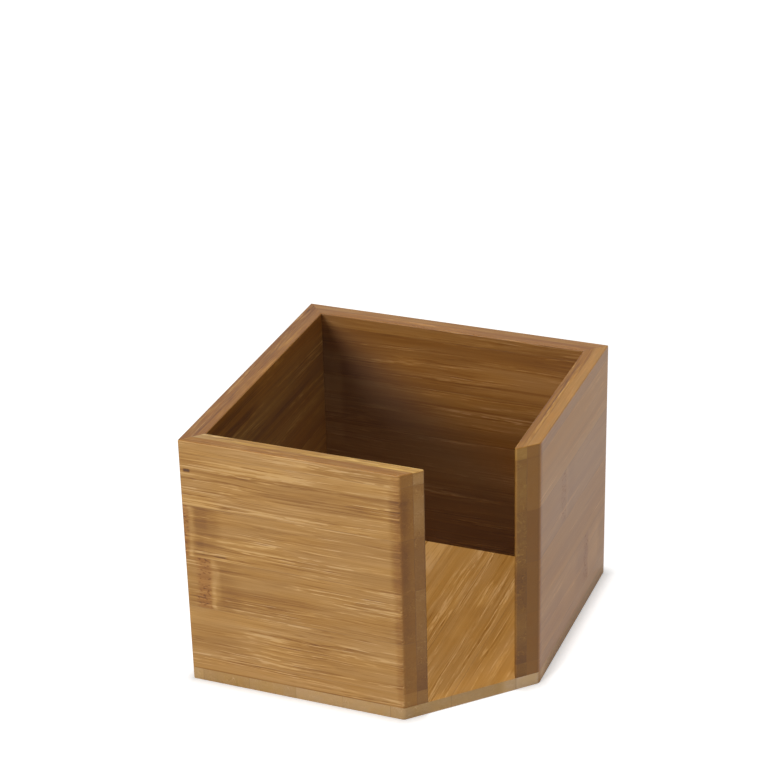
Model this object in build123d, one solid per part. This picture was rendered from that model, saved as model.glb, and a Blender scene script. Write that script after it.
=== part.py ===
"""Napkin holder: a square bamboo box with an open top and one front corner cut away.

Millimetres, +Z up, front towards -Y. The origin is at the middle of the underside. The open corner is the
front right one (+X, -Y). Every board is glued up from bamboo strips, and each strip is its own solid: the
walls have an outer and an inner layer of horizontal strips, and the base has one layer that runs front to back.
"""

import os

from build123d import *

# The box
width = 145.0                # outer size, left to right
depth = 145.0                # outer size, front to back
wall_height = 113.0          # height of the walls, which stand on the base
base_thickness = 6.0
corner_cut = 45.8            # cut back along each side from the front right corner, at 45 degrees

# The strips that the boards are glued from
outer_layer = 4.5            # thickness of the strips on the outside of the walls
inner_layer = 4.5            # thickness of the strips on the inside of the walls
wall_strip_count = 6         # in each wall layer, from the top down
top_strip = 6.0              # width that trimming left of the highest wall strip
bottom_strip = 7.0           # and of the lowest
base_strip_count = 8         # from left to right
left_strip = 5.0             # width that trimming left of the leftmost base strip
right_strip = 8.0            # and of the rightmost

# The sanded edges
rim_radius = 0.5             # all round the top of the walls and the bottom of the base
corner_radius = 0.4          # the three upright outer corners
cut_outer_radius = 3.0       # the upright edges where the cut meets the outer faces
cut_inner_radius = 0.8       # the upright edges where the cut meets the inner faces

# What follows from them
wall_thickness = outer_layer + inner_layer
total_height = base_thickness + wall_height


def corners(inset):
    """The corners of the square that lies this far inside the outer faces, from front left, anticlockwise."""
    x = width / 2 - inset
    y = depth / 2 - inset
    return [(-x, -y), (x, -y), (x, y), (-x, y)]


def cut_ends(inset):
    """Where the corner cut crosses the front and the right side of that square."""
    # The cut is at 45 degrees, so it meets the side one inset further along
    x = width / 2 - corner_cut + inset
    y = -depth / 2 + corner_cut - inset
    return [(x, -depth / 2 + inset), (width / 2 - inset, y)]


def prism(points, low, high):
    """An upright block over a plan outline."""
    outline = make_face(Polyline(*points, close=True))
    return Pos(0, 0, low) * extrude(outline, high - low)


def rounded_prism(points, radii, low, high):
    """The same with each upright edge rounded to its own radius. A radius of 0 leaves it sharp."""
    outline = make_face(FilletPolyline(*points, radius=radii, close=True))
    return Pos(0, 0, low) * extrude(outline, high - low)


def make_base():
    """The base board: the full outline of the box, eased round its underside."""
    front_left, _, back_right, back_left = corners(0)
    cut_front, cut_right = cut_ends(0)
    points = [front_left, cut_front, cut_right, back_right, back_left]
    radii = [corner_radius, cut_outer_radius, cut_outer_radius, corner_radius, corner_radius]
    base = rounded_prism(points, radii, 0, base_thickness)
    return fillet(base.faces().sort_by(Axis.Z)[0].edges(), rim_radius)


def make_walls():
    """The four walls in one, as they are after gluing and sanding, eased round their top."""
    front_left, _, back_right, back_left = corners(0)
    inner_front_left, _, inner_back_right, inner_back_left = corners(wall_thickness)
    cut_front, cut_right = cut_ends(0)
    inner_cut_front, inner_cut_right = cut_ends(wall_thickness)
    outside = [cut_right, back_right, back_left, front_left, cut_front]
    outside_radii = [cut_outer_radius, corner_radius, corner_radius, corner_radius, cut_outer_radius]
    inside = [inner_cut_front, inner_front_left, inner_back_left, inner_back_right, inner_cut_right]
    inside_radii = [cut_inner_radius, 0, 0, 0, cut_inner_radius]
    walls = rounded_prism(outside + inside, outside_radii + inside_radii, base_thickness, total_height)
    return fillet(walls.faces().sort_by(Axis.Z)[-1].edges(), rim_radius)


def strip_edges(size, first, last, count):
    """How far each glue line lies from the edge of a board: the outermost strips are trimmed, the rest alike."""
    whole = (size - first - last) / (count - 2)
    return [0] + [first + number * whole for number in range(count - 1)] + [size]


def split_base(base):
    """The base strips, from left to right."""
    edges = strip_edges(width, left_strip, right_strip, base_strip_count)
    for number, (near, far) in enumerate(zip(edges, edges[1:]), 1):
        left = near - width / 2
        right = far - width / 2
        plan = [(left, -depth / 2), (right, -depth / 2), (right, depth / 2), (left, depth / 2)]
        yield f"base_strip_{number}", base & prism(plan, 0, base_thickness)


def split_walls(walls):
    """The wall strips: for each wall and layer, from the top down. Neighbouring walls meet in a mitre."""
    drops = strip_edges(wall_height, top_strip, bottom_strip, wall_strip_count)
    layers = {"outer": (0, outer_layer), "inner": (outer_layer, wall_thickness)}
    for side, wall in enumerate(("front", "right", "back", "left")):
        for layer, (near, far) in layers.items():
            start = side
            end = (side + 1) % 4
            plan = [corners(near)[start], corners(near)[end], corners(far)[end], corners(far)[start]]
            for number, (upper, lower) in enumerate(zip(drops, drops[1:]), 1):
                strip = walls & prism(plan, total_height - lower, total_height - upper)
                yield f"{wall}_wall_{layer}_strip_{number}", strip


def main():
    os.makedirs("parts", exist_ok=True)
    for splitting in (split_base(make_base()), split_walls(make_walls())):
        for name, strip in splitting:
            export_step(strip, f"parts/{name}.step")


main()
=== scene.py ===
"""A bamboo napkin box with an open top and one cut corner: finish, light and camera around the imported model.

Metres, +Z up, front towards -Y. Materials work in millimetres, measured on the box: from its left side, from
its front and down from its top. They follow each strip's grain: along it, across it and through the board.
"""

import math
import random

import bpy
from mathutils import Matrix, Vector


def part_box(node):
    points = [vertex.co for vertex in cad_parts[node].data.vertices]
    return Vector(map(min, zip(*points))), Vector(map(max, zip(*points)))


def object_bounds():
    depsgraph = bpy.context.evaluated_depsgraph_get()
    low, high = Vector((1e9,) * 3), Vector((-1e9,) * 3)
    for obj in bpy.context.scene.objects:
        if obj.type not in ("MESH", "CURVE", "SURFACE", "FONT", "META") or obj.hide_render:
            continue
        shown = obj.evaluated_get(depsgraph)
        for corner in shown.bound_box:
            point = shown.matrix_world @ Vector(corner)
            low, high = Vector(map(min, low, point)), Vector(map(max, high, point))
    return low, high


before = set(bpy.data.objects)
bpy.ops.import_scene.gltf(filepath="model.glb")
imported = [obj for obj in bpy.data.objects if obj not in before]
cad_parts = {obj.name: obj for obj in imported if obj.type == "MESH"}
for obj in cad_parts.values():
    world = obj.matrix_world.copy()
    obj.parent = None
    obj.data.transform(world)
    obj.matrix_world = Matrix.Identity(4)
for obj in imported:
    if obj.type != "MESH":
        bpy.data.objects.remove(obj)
cad_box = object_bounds()

MM_PER_METRE = 1000.0
BOX = (Vector(cad_box[1]) - Vector(cad_box[0])) * MM_PER_METRE    # width, depth and height

# The camera of the photograph
CAMERA_PLACE = (0.33534, -0.85605, 0.58018)
CAMERA_AZIMUTH = math.radians(21.675)
CAMERA_ELEVATION = math.radians(26.627)
CAMERA_ROLL = math.radians(1.422)
CAMERA_LENS = 109.32
SENSOR_WIDTH = 36.0

# Light
SURROUND = 1.0                # what the camera sees
MIRRORED = 0.8                # what the gloss sees
AMBIENT = 0.12                # what lights the wood from all round
WHITE = (1.0, 1.0, 1.0)
LIGHT_AIM = Vector((0.0, 0.0, 0.06))
LIGHTS = {                    # degrees from the front to the right, and up, metres away, size and watts
    "overhead": (0.0, 89.9, 3.0, 0.20, 58.5),
    "front_left": (-17.5, 18.5, 1.4, 0.38, 9.6),
}

# Floor. It glows for the camera and the gloss alone, so that it shows white, and more beyond the lamps' reach
FLOOR_HALF = 4.0              # half its side
FLOOR_GREY = 0.8
FLOOR_GLOW = (0.45, 1.0)      # near the box and far from it
FLOOR_REACH = (0.25, 1.0)     # how far from the box the glow begins to grow, and where it is whole

# Bamboo, as linear colours for the tones from dark to pale
WOOD_STOPS = (
    (-0.50, (0.085, 0.032, 0.005)),
    (0.00, (0.205, 0.079, 0.011)),
    (0.25, (0.295, 0.130, 0.021)),
    (0.50, (0.385, 0.191, 0.042)),
    (0.75, (0.465, 0.248, 0.070)),
    (1.00, (0.580, 0.340, 0.125)),
)
MIDDLE_TONE = 0.5

# Tints, which multiply the colour
NO_TINT = (1.0, 1.0, 1.0)
PLACE_TINTS = ((1.01, 0.985, 0.86), (0.995, 1.01, 1.10))     # of the yellower and the greyer places
PATCH_TINT = (1.02, 0.91, 0.84)           # of the dotted side of a node
PATCH_TINT_SHARE = 0.8
SPECK_TINT = (0.70, 0.62, 0.52)           # of fibre ends on the cut faces
SPECK_TINT_SHARE = 0.12
ARRIS_SHADE_TINT = (0.87, 0.79, 0.66)           # painted shade of the rounded edges beside the cut
WOOD_TINTS = {                            # redder and yellower boards
    "right_wall_outer": (1.20, 1.02, 0.76),
    "base": (1.08, 1.03, 0.98),
    "back_wall_inner": (0.94, 0.87, 0.92),
    "left_wall_inner": (1.62, 1.55, 1.20),
}
CUT_TINTS = {                             # of the diagonal cut, and of the dry end grain round the base
    "base": (0.99, 1.22, 2.00),
    "front_wall_outer": (0.68, 0.56, 0.29),
    "front_wall_inner": (0.94, 0.95, 1.12),
    "right_wall_outer": (0.50, 0.48, 0.35),
    "right_wall_inner": (0.83, 0.81, 0.58),
}
RIM_TINTS = {                             # of the sanded rim, the faces that look up, board by board
    "left_wall_outer": (0.61, 0.46, 0.30),
    "left_wall_inner": (0.66, 0.59, 0.52),
    "back_wall_outer": (0.77, 0.66, 0.58),
    "back_wall_inner": (0.93, 0.84, 0.64),
    "right_wall_outer": (0.82, 0.91, 1.08),
    "right_wall_inner": (0.98, 0.87, 0.56),
    "front_wall_outer": (0.75, 0.61, 0.31),
    "front_wall_inner": (1.78, 2.22, 2.90),
}
GLUE_LINE = (0.150, 0.066, 0.022)         # takes the wood's place

# Painted shade on the inner faces, low down and to the left, where the shadow of the left and front walls
# falls
DEEP_SHADE_TINT = (0.71, 0.86, 1.00)
DEEP_SHADE_HAZE = (0.002, 0.012, 0.040)         # a pale haze added in that painted shade
DEEP_SHADOW_SLOPE = 0.7                          # how far down that painted shadow begins, for each mm from the left
DEEP_SHADOW_FADE = 20.0                          # above and below that
FOOT_SHADE = (75.0, 112.0)                      # painted shade: how far down every inner face begins to darken and is darkest
FOOT_SHADE_TONE = -0.30

# Noise: the length and width of its features in mm, its octaves and its seed. For an area come the levels at
# which it begins and is whole.
OCTAVE_STRENGTH = 0.8                     # of each finer octave, against the one before
NOISE_MIDDLE = 0.5                        # what Blender's own noise varies about
WANDER = (120.0, 40.0, 0.0, 0.0)          # how the grain wanders, slowly
SHIVER = (18.0, 8.0, 0.0, 7.0)            # and quickly
WANDER_ACROSS = 2.6                       # mm for each unit of that noise
WANDER_THROUGH = 1.5
SHIVER_ACROSS = 0.8
LIVELY_AREA = (60.0, 6.0, 0.0, 3.0, -0.16, 0.16)             # where the fibres are strong
BREAK_AREA = (5.0, 0.6, 0.0, 19.0, -0.12, 0.12)              # where a raised fibre is unbroken
DASH_AREA = (7.0, 0.45, 0.0, 31.0, 0.15, 0.27)
NODE_BEND = (9.0, 7.0, 1.0, 37.0)
DOT_AREA = (1.5, 0.8, 0.0, 41.0, 0.06, 0.20)
GREY_AREA = (30.0, 7.0, 1.0, 43.0, -0.20, 0.20)
SPECK_AREA = (4.0, 0.30, 0.0, 47.0, 0.05, 0.25)
ARRIS_BEND = (9.0, 1.4, 1.0, 51.0)
GLUE_AREA = (14.0, 6.0, 0.0, 53.0, -0.15, 0.15)              # where glue shows
RIM_TINT_AREA = (16.0, 2.4, 1.0, 57.0, -0.12, 0.06)           # where the rim's tint is at full strength

# The grain, from broad bands to single fibres: its noise and its strength
GRAIN = {
    "bands": ((150.0, 9.0, 0.0, 11.0), 0.38),
    "streaks": ((95.0, 3.0, 0.0, 12.0), 0.38),
    "lines": ((70.0, 1.1, 1.0, 13.0), 0.64),
    "fibres": ((24.0, 0.42, 1.0, 14.0), 0.95),
}
# Raised fibres: their noise, the area where they show, their reach from the noise's zero, and their strength
RIDGES = {
    "broad": ((85.0, 2.0, 0.0, 23.0), (55.0, 2.6, 0.0, 27.0, -0.02, 0.12), 0.08, 0.46),
    "narrow": ((50.0, 1.2, 0.0, 24.0), (55.0, 2.6, 0.0, 28.0, -0.02, 0.12), 0.11, 0.40),
}
RIDGE_SHADE_PLACE = 1.5       # how many reaches from a raised fibre its shade lies
RIDGE_SHADE = 0.55            # strength of the shade
DASH_TONE = -0.16

# Strengths, each from where what it depends on is 0 to where that is 1
CUT_GRAIN = (1.0, 0.25)       # of all grain, from long faces to cut ones
LIVELY_GRAIN = (0.5, 1.4)     # of the fibres, from calm to lively places
BROAD_GRAIN = (0.3, 1.0)      # of bands and streaks, by the board's contrast
NODE_STRENGTH = (0.2, 1.0)    # of a node, by the same
UNBROKEN = (0.35, 1.50)       # of raised fibres, from where they are broken to where they aren't
RIM_TINT_STRENGTH = (0.66, 1.0)         # of the rim's tint
GLUE_STRENGTH = (0.08, 0.44)  # of glue lines, from where glue hardly shows to where it does

# A node, in mm from its ridge towards its dots. A part's edges are where it begins and where it is whole.
NODE_BEND_REACH = 3.5         # mm for each unit of the noise that bends it
NODE_RIDGE = (1.6, 0.2)
NODE_RIDGE_STRENGTH = (0.55, 3.55)        # from where that noise is 0 to where it is 1
NODE_PATCH = ((0.4, 2.4), (9.5, 6.0))     # its near edge and its far one
NODE_SHADE = ((-0.8, -3.0), (-15.0, -6.0))
NODE_TONES = {"ridge": 0.22, "patch": -0.15, "shade": -0.14, "dots": -0.38}

# Edges, as where each begins and where it is whole
CUT_FACING = (0.30, 0.62)     # how much a cut face looks along the grain
RIM_FACING = (0.45, 0.85)     # how much the rim looks up
ARRIS = (3.4, 1.4)            # mm from the cut
ARRIS_JAGS = 5.0              # mm for each unit of its noise
GLUE_WIDTH = (0.26, 0.06)     # mm from the middle of a glue line

# The lacquer, and what each part adds to its roughness and to the height of the surface in mm
LACQUER_IOR = 1.42
LACQUER_ROUGHNESS = 0.40
ROUGHNESSES = {"fine": 0.10, "cut": 0.10, "dots": 0.10, "wander": 0.12}
HEIGHTS = {
    "fine": 0.03,
    "crests": 0.035,
    "broad": 0.02,
    "ridge": 0.05,
    "dashes": -0.02,
    "dots": -0.04,
    "glue": -0.05,
}

# The boards' strips. What a table doesn't name is drawn at random, strip by strip.
CONTRASTS = {"base": 0.74, "right_wall_outer": 0.22, "back_wall_inner": 0.52, "left_wall_inner": 0.5}
# The inner layer's lower tone is partly the wood's own and partly painted shade inside the box.
LAYER_TONES = {"base": 0.10, "outer": 0.0, "inner": -0.28}
TONE_SPREAD = 0.08            # a strip's tone may differ from its layer's by this much
TONES = {                     # from the top strip down, and on the base from the left
    "front_wall_outer": (0.10, 0.08, 0.02, -0.05, 0.06, 0.10),
    "right_wall_outer": (0.04, 0.20, -0.04, 0.0, 0.0, -0.02),
    "back_wall_inner": (-0.22, -0.38, -0.22, -0.06, -0.12, -0.20),
    "base": (0.14, -0.03, 0.03, 0.15, 0.14, 0.10, 0.08, 0.12),
}
LAST_SEED = 400.0
NODE_SHARE = 0.3              # how many strips have a node
NODE_REACH = (15.0, 130.0)    # where along a strip it may lie
NO_NODE = (-100.0, 1.0)
# Boards whose strips have only the nodes that NODES gives them
NODELESS = ("front_wall_outer", "right_wall_outer", "back_wall_inner", "left_wall_inner", "base")
NODES = {                     # what the photograph shows: place along the strip, and the side of the dots
    "front_wall_outer_strip_3": (3.7, -1.0),
    "front_wall_outer_strip_4": (13.0, -1.0),
    "right_wall_outer_strip_3": (84.0, -1.0),
    "right_wall_outer_strip_5": (119.0, -1.0),
}
MARGIN = 1.0                  # an edge of a strip this near to the box's outline is no glue line
PLY_DEPTH = (3.0, 6.0)        # how deep in a wall its two layers meet

# Bands on single strips, as the photograph shows them
MARK_FADE = 0.2               # the part of a band's length over which an end fades, both ways
MARK_CORE = 0.35              # the part of its width that is at full strength
MARKS = {                     # how far across, half width, start and end along, and how much lighter
    "front_wall_outer_strip_1": (
        (3.0, 4.0, 18, 58, 0.10),
        (3.0, 4.0, 62, 97, -0.24),
        (3.0, 4.0, 100, 104, 0.06),
    ),
    "front_wall_outer_strip_2": (
        (9.4, 3.4, 14, 58, 0.20),
        (13.2, 1.6, 22, 99, -0.24),
        (14.0, 1.1, 1.8, 4.6, -0.95),
        (19.4, 2.0, 38, 92, -0.20),
        (29.2, 2.4, 0, 17, 0.26),
        # painted shade beside the rounded cut edge
        (19.0, 16.0, 94.8, 102, -0.30),
    ),
    "front_wall_outer_strip_3": (
        (39.0, 11.0, 4, 17, -0.14),
        (37.0, 7.0, 5, 11, -0.12),
        (50.0, 7.0, 4, 9, -0.12),
        (54.0, 2.0, 15, 29, 0.18),
        # painted shade beside the rounded cut edge
        (43.0, 18.0, 95.2, 102, -0.28),
    ),
    "front_wall_outer_strip_4": (
        (68.5, 13.0, 11, 16, 0.14),
        (72.0, 7.5, 17, 60, -0.12),
        # painted shade beside the rounded cut edge
        (68.0, 18.0, 96.0, 102, -0.12),
    ),
    "front_wall_outer_strip_5": (
        (94.0, 9.0, 0, 24, -0.12),
        # painted shade beside the rounded cut edge
        (94.0, 18.0, 96.4, 102, -0.08),
    ),
    "front_wall_outer_strip_6": (
        (109.0, 6.0, 99, 104, 0.16),
        # a painted shadow line where the wall meets the base
        (112.9, 0.8, -9, 103, -0.40),
    ),
    "front_wall_inner_strip_1": (
        (3.0, 4.0, 102, 112, 0.34),
    ),
    "front_wall_inner_strip_2": (
        (18.0, 14.0, 102, 112, 0.18),
    ),
    "front_wall_inner_strip_6": (
        (109.0, 6.0, 102, 112, 0.30),
    ),
    "left_wall_inner_strip_1": (
        (5.0, 3.0, 8, 62, -0.30),
    ),
    "left_wall_inner_strip_2": (
        (12.0, 3.5, 10, 58, -0.34),
        (20.0, 4.0, 30, 100, 0.16),
        (27.0, 1.6, 40, 120, -0.20),
    ),
    "left_wall_inner_strip_3": (
        (38.0, 6.0, 60, 132, 0.14),
    ),
    "back_wall_outer_strip_1": (
        (3.0, 4.0, 90, 150, 0.14),
    ),
    # On the inner back wall the wide lighter bands are painted light, where that wall is lit and in its left
    # corner; its thin dark lines are grain.
    "back_wall_inner_strip_1": (
        (3.0, 4.0, 14, 150, 0.10),
    ),
    "back_wall_inner_strip_2": (
        (25.6, 0.8, 40, 132, -0.22),
        (26.0, 10.0, 8, 18, 0.26),
        (22.0, 14.0, 34, 150, 0.15),
        (22.0, 14.0, 84, 150, 0.14),
    ),
    "back_wall_inner_strip_3": (
        (39.0, 0.8, 48, 132, -0.22),
        (42.0, 16.0, 8, 18, 0.24),
        (38.0, 14.0, 62, 150, 0.16),
        (50.0, 9.0, 54, 150, 0.08),
    ),
    "back_wall_inner_strip_4": (
        (60.0, 9.0, 8, 18, 0.16),
        (64.0, 18.0, 62, 150, 0.22),
    ),
    "right_wall_outer_strip_1": (
        (3.0, 4.0, 40, 46, 0.22),
        (3.0, 4.0, 48, 78, -0.06),
    ),
    "right_wall_outer_strip_5": (
        (94.0, 15.0, 118, 134, 0.22),
        (92.0, 15.0, 100, 122, -0.14),
        (94.0, 13.0, 48, 80, -0.10),
    ),
    "right_wall_outer_strip_6": (
        (109.0, 6.0, 40, 46, 0.10),
        (109.0, 6.0, 48, 96, -0.10),
    ),
    "right_wall_inner_strip_1": (
        (3.0, 4.0, 34, 44, 0.42),
    ),
    "right_wall_inner_strip_2": (
        (18.0, 14.0, 34, 44, 0.12),
    ),
    "right_wall_inner_strip_4": (
        (68.0, 14.0, 30, 50, -0.16),
    ),
    "right_wall_inner_strip_5": (
        (93.0, 16.0, 34, 44, 0.16),
    ),
    "right_wall_inner_strip_6": (
        (109.0, 6.0, 34, 44, 0.22),
    ),
    # The lighter bands near the back wall, on this strip and the next, are painted light on the floor there.
    "base_strip_4": (
        (66.0, 8.0, 106, 146, 0.32),
    ),
    "base_strip_5": (
        (72.0, 3.0, 112, 140, 0.14),
        (86.0, 8.0, 54, 78, -0.14),
    ),
    "base_strip_6": (
        (103.0, 5.0, 90, 108, 0.20),
        (100.0, 8.0, 60, 78, 0.08),
    ),
    "base_strip_7": (
        (135.0, 4.0, 30, 42, 0.25),
    ),
    "base_strip_8": (
        (141.0, 8.0, 34, 56, 0.34),
    ),
}


class Shader:
    """Short ways to add the nodes of one node tree."""

    def __init__(self, tree):
        self.tree = tree

    def add(self, kind, settings=None, **inputs):
        node = self.tree.nodes.new(kind)
        for name, value in (settings or {}).items():
            setattr(node, name, value)
        for name, value in inputs.items():
            self.feed(node.inputs[name.replace("_", " ")], value)
        return node

    def feed(self, socket, value):
        if isinstance(value, bpy.types.NodeSocket):
            self.tree.links.new(value, socket)
        elif hasattr(socket.default_value, "__len__") and len(socket.default_value) == 4:
            socket.default_value = (*value, 1.0)
        else:
            socket.default_value = value

    def maths(self, operation, *values):
        node = self.add("ShaderNodeMath", {"operation": operation})
        for socket, value in zip(node.inputs, values):
            self.feed(socket, value)
        return node.outputs[0]

    def plus(self, *values):
        total = values[0]
        for value in values[1:]:
            total = self.maths("ADD", total, value)
        return total

    def minus(self, a, b):
        return self.maths("SUBTRACT", a, b)

    def times(self, *values):
        product = values[0]
        for value in values[1:]:
            product = self.maths("MULTIPLY", product, value)
        return product

    def between(self, factor, at_0, at_1):
        """The number that goes evenly from at_0 to at_1 as the factor goes from 0 to 1."""
        return self.plus(at_0, self.times(factor, at_1 - at_0))

    def size(self, value):
        return self.maths("ABSOLUTE", value)

    def least(self, *values):
        result = values[0]
        for value in values[1:]:
            result = self.maths("MINIMUM", result, value)
        return result

    def smooth(self, value, low, high):
        """0 at low and 1 at high, with a soft step between them. Either may be the larger."""
        node = self.add("ShaderNodeMapRange", {"interpolation_type": "SMOOTHSTEP", "clamp": True})
        falls = low > high
        edges = (high, low) if falls else (low, high)
        results = (1.0, 0.0) if falls else (0.0, 1.0)
        for socket, number in zip(node.inputs, (value, *edges, *results)):
            self.feed(socket, number)
        return node.outputs[0]

    def point(self, x, y, z):
        return self.add("ShaderNodeCombineXYZ", X=x, Y=y, Z=z).outputs[0]

    def noise(self, vector, octaves, seed):
        """Perlin noise about 0, with features about one unit wide."""
        node = self.add("ShaderNodeTexNoise", {"noise_dimensions": "4D"}, Vector=vector, W=seed, Scale=1.0,
                        Detail=octaves, Roughness=OCTAVE_STRENGTH)
        return self.minus(node.outputs["Fac"], NOISE_MIDDLE)

    def blend(self, factor, a, b, kind="MIX"):
        """From colour a at 0 to colour b at 1, or to what kind makes of both."""
        node = self.add("ShaderNodeMix", {"data_type": "RGBA", "blend_type": kind})
        for index, value in ((0, factor), (6, a), (7, b)):
            self.feed(node.inputs[index], value)
        return node.outputs[2]

    def tint(self, factor, colour, tint):
        return self.blend(factor, colour, tint, "MULTIPLY")

    def ramp(self, value, stops):
        """The colour for a value, from stops that may begin below 0."""
        first = stops[0][0]
        span = stops[-1][0] - first
        node = self.add("ShaderNodeValToRGB", Fac=self.times(self.minus(value, first), 1 / span))
        elements = node.color_ramp.elements
        while len(elements) < len(stops):
            elements.new(0.5)
        for element, (place, colour) in zip(elements, stops):
            element.position = (place - first) / span
            element.color = (*colour, 1.0)
        return node.outputs[0]


def make_camera():
    looking = (Matrix.Rotation(CAMERA_AZIMUTH, 3, "Z")
               @ Matrix.Rotation(math.pi / 2 - CAMERA_ELEVATION, 3, "X")
               @ Matrix.Rotation(-CAMERA_ROLL, 3, "Z"))
    data = bpy.data.cameras.new("camera")
    data.lens = CAMERA_LENS
    data.sensor_fit = "HORIZONTAL"
    data.sensor_width = SENSOR_WIDTH
    camera = bpy.data.objects.new("camera", data)
    camera.matrix_world = Matrix.Translation(CAMERA_PLACE) @ looking.to_4x4()
    bpy.context.collection.objects.link(camera)
    bpy.context.scene.camera = camera


def make_world():
    world = bpy.data.worlds.new("studio")
    world.use_nodes = True
    shader = Shader(world.node_tree)
    world.node_tree.nodes.clear()
    path = shader.add("ShaderNodeLightPath")
    mirrored = shader.maths("MAXIMUM", path.outputs["Is Glossy Ray"], path.outputs["Is Transmission Ray"])
    seen = shader.times(path.outputs["Is Camera Ray"], SURROUND - AMBIENT)
    strength = shader.plus(AMBIENT, seen, shader.times(mirrored, MIRRORED - AMBIENT))
    background = shader.add("ShaderNodeBackground", Color=WHITE, Strength=strength)
    output = shader.add("ShaderNodeOutputWorld")
    world.node_tree.links.new(background.outputs[0], output.inputs[0])
    bpy.context.scene.world = world


def make_light(name, azimuth, elevation, distance, size, power):
    data = bpy.data.lights.new(name, "AREA")
    data.shape = "DISK"
    data.size = size
    data.energy = power
    lamp = bpy.data.objects.new(name, data)
    swing = Matrix.Rotation(math.radians(azimuth), 3, "Z")
    lift = Matrix.Rotation(-math.radians(elevation), 3, "X")
    away = swing @ lift @ Vector((0.0, -distance, 0.0))
    turn = away.to_track_quat("Z", "Y").to_matrix().to_4x4()
    lamp.matrix_world = Matrix.Translation(LIGHT_AIM + away) @ turn
    lamp.visible_camera = False
    bpy.context.collection.objects.link(lamp)


def make_floor():
    mesh = bpy.data.meshes.new("floor")
    signs = ((-1, -1), (1, -1), (1, 1), (-1, 1))
    mesh.from_pydata([(x * FLOOR_HALF, y * FLOOR_HALF, 0) for x, y in signs], [], [(0, 1, 2, 3)])
    floor = bpy.data.objects.new("floor", mesh)
    bpy.context.collection.objects.link(floor)
    mesh.materials.append(white_paper())


def white_paper():
    """The floor's material."""
    material = bpy.data.materials.new("floor")
    material.use_nodes = True
    shader = Shader(material.node_tree)
    material.node_tree.nodes.clear()
    path = shader.add("ShaderNodeLightPath")
    seen = shader.plus(path.outputs["Is Camera Ray"], shader.times(path.outputs["Is Glossy Ray"], MIRRORED))
    place = shader.add("ShaderNodeTexCoord").outputs["Object"]
    away = shader.add("ShaderNodeVectorMath", {"operation": "LENGTH"}, Vector=place).outputs["Value"]
    strength = shader.between(shader.smooth(away, *FLOOR_REACH), *FLOOR_GLOW)
    paper = shader.add("ShaderNodeBsdfDiffuse", Color=(FLOOR_GREY, FLOOR_GREY, FLOOR_GREY))
    glow = shader.add("ShaderNodeEmission", Color=WHITE, Strength=shader.times(seen, strength))
    both = shader.add("ShaderNodeAddShader")
    output = shader.add("ShaderNodeOutputMaterial")
    links = material.node_tree.links
    links.new(paper.outputs[0], both.inputs[0])
    links.new(glow.outputs[0], both.inputs[1])
    links.new(both.outputs[0], output.inputs[0])
    return material


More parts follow.
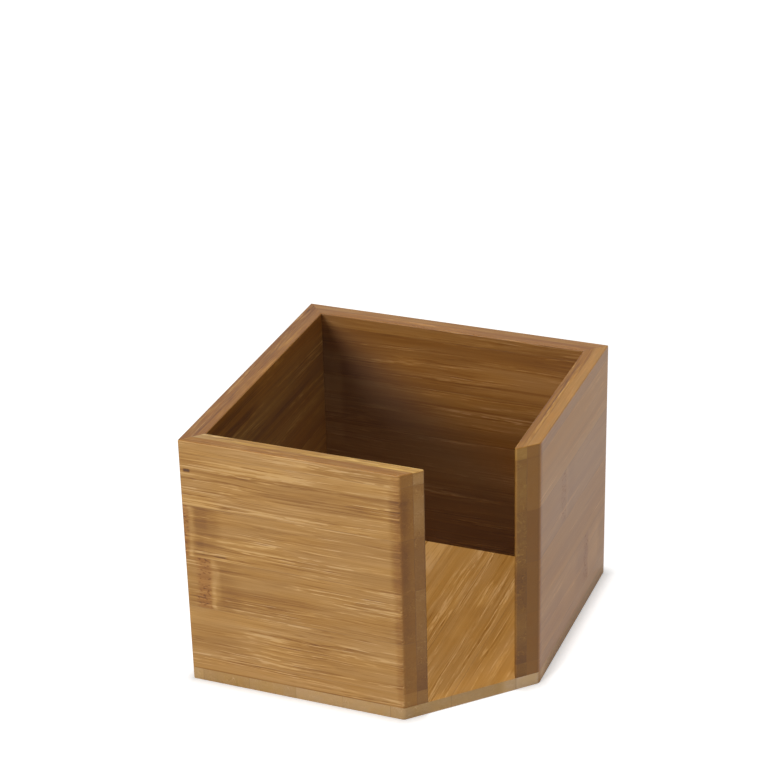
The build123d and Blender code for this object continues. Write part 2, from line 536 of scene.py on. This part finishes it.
class Bamboo(Shader):
    """The nodes that every strip shares, in mm along, across and through the grain."""

    def __init__(self, tree):
        super().__init__(tree)
        self.given = self.add("NodeGroupInput").outputs
        self.straight = (self.given["Across"], self.given["Through"])
        wander = self.pattern(self.straight, *WANDER)
        shiver = self.pattern(self.straight, *SHIVER)
        across = self.plus(self.given["Across"], self.times(wander, WANDER_ACROSS),
                           self.times(shiver, SHIVER_ACROSS))
        through = self.plus(self.given["Through"], self.times(wander, WANDER_THROUGH))
        self.flowing = (across, through)
        self.cut = self.smooth(self.given["Cut"], *CUT_FACING)
        self.long_face = self.minus(1.0, self.cut)
        self.parts = {"wander": wander, "cut": self.cut}

    def pattern(self, sideways, length, width, octaves, seed):
        """Noise about 0. sideways is straight, or flowing as the grain does."""
        across, through = sideways
        point = self.point(self.times(self.given["Along"], 1 / length), self.times(across, 1 / width),
                           self.times(through, 1 / width))
        return self.noise(point, octaves, self.plus(self.given["Seed"], seed))

    def area(self, sideways, length, width, octaves, seed, begins, whole):
        """Such noise, stepped to 0 outside the area and 1 inside it."""
        return self.smooth(self.pattern(sideways, length, width, octaves, seed), begins, whole)

    def weighed(self, weights):
        """The sum of the named parts, each times its weight."""
        return self.plus(*(self.times(self.parts[name], weight) for name, weight in weights.items()))

    def add_grain(self):
        """Bands and streaks, and lines and fibres, which are livelier in some places than in others."""
        contrast = self.given["Contrast"]
        plain = self.between(self.cut, *CUT_GRAIN)
        lively = self.between(self.area(self.straight, *LIVELY_AREA), *LIVELY_GRAIN)
        lively = self.times(lively, contrast, plain)
        grain = {}
        for name, (noise, strength) in GRAIN.items():
            grain[name] = self.times(self.pattern(self.flowing, *noise), strength)
        broad = self.times(self.plus(grain["bands"], grain["streaks"]), plain)
        self.parts["broad"] = self.times(broad, self.between(contrast, *BROAD_GRAIN))
        self.parts["fine"] = self.times(self.plus(grain["lines"], grain["fibres"]), lively)
        self.parts["dashes"] = self.times(self.area(self.flowing, *DASH_AREA), lively)
        self.add_raised_fibres(lively)

    def add_raised_fibres(self, lively):
        """A pale crest with a shaded side, here and there, and broken along its length."""
        unbroken = self.between(self.area(self.flowing, *BREAK_AREA), *UNBROKEN)
        crests = 0.0
        raised = 0.0
        for noise, area, reach, strength in RIDGES.values():
            level = self.pattern(self.flowing, *noise)
            here = self.times(self.area(self.flowing, *area), unbroken)
            crest = self.times(self.smooth(self.size(level), reach, 0.0), here)
            from_shade = self.size(self.minus(level, RIDGE_SHADE_PLACE * reach))
            shade = self.times(self.smooth(from_shade, reach, 0.0), here)
            crests = self.plus(crests, crest)
            both = self.minus(crest, self.times(shade, RIDGE_SHADE))
            raised = self.plus(raised, self.times(both, strength))
        self.parts["crests"] = self.times(crests, lively)
        self.parts["raised"] = self.times(raised, lively)

    def add_node(self):
        """The bamboo's own node: a pale ridge, dots of cut fibre on one side of it and shade on the other."""
        bend = self.pattern(self.straight, *NODE_BEND)
        from_node = self.minus(self.given["Along"], self.given["Node"])
        bent = self.plus(from_node, self.times(bend, NODE_BEND_REACH))
        beside = self.times(bent, self.given["Lean"])
        ridge = self.smooth(self.size(beside), *NODE_RIDGE)
        self.parts["ridge"] = self.times(ridge, self.between(bend, *NODE_RIDGE_STRENGTH))
        for name, edges in (("patch", NODE_PATCH), ("shade", NODE_SHADE)):
            self.parts[name] = self.times(*(self.smooth(beside, *edge) for edge in edges))
        self.parts["dots"] = self.times(self.area(self.straight, *DOT_AREA), self.parts["patch"])
        strength = self.least(self.between(self.given["Contrast"], *NODE_STRENGTH), 1.0)
        self.parts["node"] = self.times(self.weighed(NODE_TONES), strength)
        self.parts["reddish"] = self.times(self.parts["patch"], strength, PATCH_TINT_SHARE)

    def wood_colour(self):
        """The colour of the tone, with yellower and greyer places, and painted shade deep inside."""
        tones = [self.parts[name] for name in ("broad", "fine", "raised", "node")]
        tones.append(self.times(self.parts["dashes"], DASH_TONE))
        colour = self.ramp(self.plus(MIDDLE_TONE, self.given["Tone"], *tones), WOOD_STOPS)
        colour = self.tint(1.0, colour, self.blend(self.area(self.straight, *GREY_AREA), *PLACE_TINTS))
        colour = self.tint(self.parts["reddish"], colour, PATCH_TINT)
        colour = self.tint(1.0, colour, self.given["Tint"])
        # Painted shade: darker and hazier where the walls' shadow falls inside the box
        deep = self.times(self.given["Deep"], self.long_face)
        return self.blend(deep, self.tint(deep, colour, DEEP_SHADE_TINT), DEEP_SHADE_HAZE, "ADD")

    def edge_colour(self, colour):
        """The same with cut fibre ends, the tinted rim and painted shade on the rounded edges beside the cut.
        """
        colour = self.tint(self.cut, colour, self.given["Cut Tint"])
        specks = self.times(self.cut, self.area(self.straight, *SPECK_AREA), SPECK_TINT_SHARE)
        colour = self.tint(specks, colour, SPECK_TINT)
        rim_strength = self.between(self.area(self.straight, *RIM_TINT_AREA), *RIM_TINT_STRENGTH)
        rim = self.times(self.smooth(self.given["Up"], *RIM_FACING), rim_strength)
        colour = self.tint(rim, colour, self.given["Rim Tint"])
        jags = self.times(self.pattern(self.flowing, *ARRIS_BEND), ARRIS_JAGS)
        to_cut = self.plus(self.given["To Cut"], jags)
        # Painted shade where the faces round over into the cut
        arris_shade = self.times(self.smooth(to_cut, *ARRIS), self.long_face, self.minus(1.0, rim))
        return self.tint(arris_shade, colour, ARRIS_SHADE_TINT)

    def glued_colour(self, colour):
        """The same with glue lines."""
        strength = self.between(self.area(self.straight, *GLUE_AREA), *GLUE_STRENGTH)
        self.parts["glue"] = self.times(self.smooth(self.given["Glue"], *GLUE_WIDTH), strength)
        return self.blend(self.parts["glue"], colour, GLUE_LINE)


def bamboo_tree():
    """The empty node group of the bamboo, with its sockets."""
    tree = bpy.data.node_groups.new("bamboo", "ShaderNodeTree")
    sockets = {
        ("INPUT", "NodeSocketFloat"): ("Along", "Across", "Through", "Seed", "Tone", "Contrast", "Node",
                                       "Lean", "Glue", "Cut", "Up", "To Cut", "Deep"),
        ("INPUT", "NodeSocketColor"): ("Tint", "Cut Tint", "Rim Tint"),
        ("OUTPUT", "NodeSocketColor"): ("Colour",),
        ("OUTPUT", "NodeSocketFloat"): ("Roughness", "Height"),
    }
    for (direction, kind), names in sockets.items():
        for name in names:
            tree.interface.new_socket(name, in_out=direction, socket_type=kind)
    return tree


def make_bamboo():
    """The node group that every strip shares."""
    s = Bamboo(bamboo_tree())
    s.add_grain()
    s.add_node()
    colour = s.glued_colour(s.edge_colour(s.wood_colour()))
    roughness = s.plus(LACQUER_ROUGHNESS, s.weighed(ROUGHNESSES))
    s.add("NodeGroupOutput", Colour=colour, Roughness=roughness, Height=s.weighed(HEIGHTS))
    return s.tree


def mark(s, along, across, spot):
    """A band that is darker or lighter than its strip, with ends that fade."""
    place, half_width, start, end, strength = spot
    fade = MARK_FADE * (end - start)
    side = s.smooth(s.size(s.minus(across, place)), half_width, MARK_CORE * half_width)
    ends = s.times(s.smooth(along, start - fade, start + fade), s.smooth(along, end + fade, end - fade))
    return s.times(side, ends, strength)


def grain_axes(layer):
    """Which of x, y and z run along, across and through the grain of a board."""
    if layer == "base":
        return "yxz"
    return "yzx" if layer.startswith(("left", "right")) else "xzy"


def glue_lines(name, layer, axes):
    """The glue lines beside a strip: the axis that each lies across, and its place on it."""
    low, high = ((Vector(point) - Vector(cad_box[0])) * MM_PER_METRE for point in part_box(name))
    if layer == "base":
        return [("x", edge) for edge in (low.x, high.x) if MARGIN < edge < BOX.x - MARGIN]
    between_strips = [("z", edge) for edge in (BOX.z - high.z, BOX.z - low.z) if edge > MARGIN]
    skin = axes[2]
    number = "xyz".index(skin)
    edges = [edge for edge in (low[number], high[number]) if is_ply(edge, BOX[number])]
    return between_strips + [(skin, edge) for edge in edges]


def is_ply(edge, span):
    """Whether an edge of a wall strip is the line between the wall's two layers."""
    return PLY_DEPTH[0] < min(edge, span - edge) < PLY_DEPTH[1]


def box_places(s):
    """How far the surface lies from the box's left side, from its front and down from its top, by axis."""
    place = s.add("ShaderNodeSeparateXYZ", Vector=s.add("ShaderNodeTexCoord").outputs["Object"]).outputs
    low, high = cad_box
    return {
        "x": s.times(s.minus(place[0], low[0]), MM_PER_METRE),
        "y": s.times(s.minus(place[1], low[1]), MM_PER_METRE),
        "z": s.times(s.minus(high[2], place[2]), MM_PER_METRE),
    }


def glue_gap(s, places, lines, layer):
    """How far the surface lies from the nearest glue line, where a wall's mitres count too."""
    gaps = [s.size(s.minus(places[axis], edge)) for axis, edge in lines]
    if layer != "base":
        sideways = s.size(s.minus(places["x"], BOX.x / 2))
        forwards = s.size(s.minus(places["y"], BOX.y / 2))
        gaps.append(s.size(s.minus(sideways, forwards)))
    return s.least(*gaps)


def cut_gap(s, places):
    """How far the surface lies to the left of the corner cut."""
    # This strip ends on the cut, which runs back at 45 degrees from where it meets the front
    on_cut = (Vector(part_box("front_wall_outer_strip_2")[1]) - Vector(cad_box[0])) * MM_PER_METRE
    return s.plus(s.minus(on_cut.x - on_cut.y, places["x"]), places["y"])


def bamboo_strip(name, layer, group, seed, tone, node):
    """One strip's material."""
    material = bpy.data.materials.new(name)
    material.use_nodes = True
    s = Shader(material.node_tree)
    places = box_places(s)
    axes = grain_axes(layer)
    along, across, through = (places[axis] for axis in axes)
    glue = glue_gap(s, places, glue_lines(name, layer, axes), layer)
    facing = s.add("ShaderNodeSeparateXYZ", Vector=s.add("ShaderNodeNewGeometry").outputs["Normal"]).outputs
    end_facing = s.size(facing["xyz".index(axes[0])])
    tone = s.plus(tone, *(mark(s, along, across, spot) for spot in MARKS.get(name, ())))
    deep = 0.0
    if layer.endswith("inner"):
        # Painted shadow of the left and front walls, whose edge lies lower further to the right
        deep = s.smooth(s.minus(places["z"], s.times(places["x"], DEEP_SHADOW_SLOPE)), -DEEP_SHADOW_FADE, DEEP_SHADOW_FADE)
        # Painted shade, darker towards the foot of every inner face
        tone = s.plus(tone, s.times(s.smooth(places["z"], *FOOT_SHADE), FOOT_SHADE_TONE))
    wood = s.add("ShaderNodeGroup", {"node_tree": group}, Along=along, Across=across, Through=through,
                 Seed=seed, Tone=tone, Contrast=CONTRASTS.get(layer, 1.0), Node=node[0], Lean=node[1],
                 Glue=glue, Cut=end_facing, Up=facing[2], To_Cut=cut_gap(s, places), Deep=deep,
                 Tint=WOOD_TINTS.get(layer, NO_TINT), Cut_Tint=CUT_TINTS.get(layer, NO_TINT),
                 Rim_Tint=RIM_TINTS.get(layer, NO_TINT))
    relief = s.add("ShaderNodeBump", Height=wood.outputs["Height"], Distance=1 / MM_PER_METRE, Strength=1.0)
    bsdf = material.node_tree.nodes["Principled BSDF"]
    s.feed(bsdf.inputs["Base Color"], wood.outputs["Colour"])
    s.feed(bsdf.inputs["Roughness"], wood.outputs["Roughness"])
    s.feed(bsdf.inputs["Normal"], relief.outputs[0])
    bsdf.inputs["IOR"].default_value = LACQUER_IOR
    return material


def dress(group):
    """Gives each strip its own piece of bamboo."""
    for number, (name, piece) in enumerate(sorted(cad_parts.items())):
        draw = random.Random(number)
        layer, strip_number = name.split("_strip_")
        seed = draw.uniform(0.0, LAST_SEED)
        tone = draw.uniform(-TONE_SPREAD, TONE_SPREAD) + LAYER_TONES[layer.rpartition("_")[2]]
        has_node = draw.random() < NODE_SHARE
        node = (draw.uniform(*NODE_REACH), draw.choice((-1.0, 1.0)))
        if layer in NODELESS or not has_node:
            node = NO_NODE
        if layer in TONES:
            tone = TONES[layer][int(strip_number) - 1]
        material = bamboo_strip(name, layer, group, seed, tone, NODES.get(name, node))
        piece.data.materials.clear()
        piece.data.materials.append(material)


bpy.context.scene.view_settings.view_transform = "Standard"
make_camera()
make_world()
for light, settings in LIGHTS.items():
    make_light(light, *settings)
make_floor()
dress(make_bamboo())
